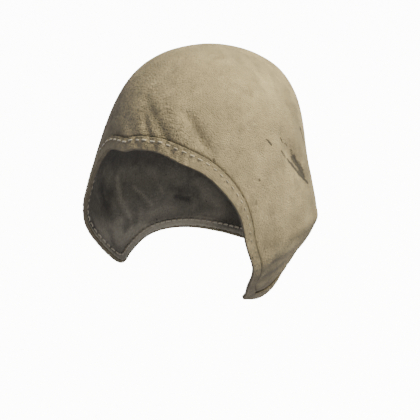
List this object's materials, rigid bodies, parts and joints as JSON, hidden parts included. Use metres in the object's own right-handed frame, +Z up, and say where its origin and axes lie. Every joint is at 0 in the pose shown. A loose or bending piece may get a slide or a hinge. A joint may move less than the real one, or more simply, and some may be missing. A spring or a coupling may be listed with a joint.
{
  "type": "linen hood",
  "caption": "Soft linen hood in its worn form: a deep rounded crown with cheek flaps, an open face and neck, and turned and stitched hems.",
  "frame": {"origin": "the inside of the crown at its highest point, where the hood rests on the head", "axes": "+Z up, -Y the way the wearer faces, +X towards the wearer's left"},
  "size_m": [0.1884, 0.1834, 0.1972],
  "materials": {
    "linen": "coarse undyed linen, matt, worn and mottled",
    "hem_linen": "the same linen turned over and pressed, a little darker with handling",
    "thread": "thick cream linen thread, matt"
  },
  "bodies": {
    "root": {"hood_shell": "linen", "face_hem": "hem_linen", "neck_hem": "hem_linen"}
  },
  "joints": []
}
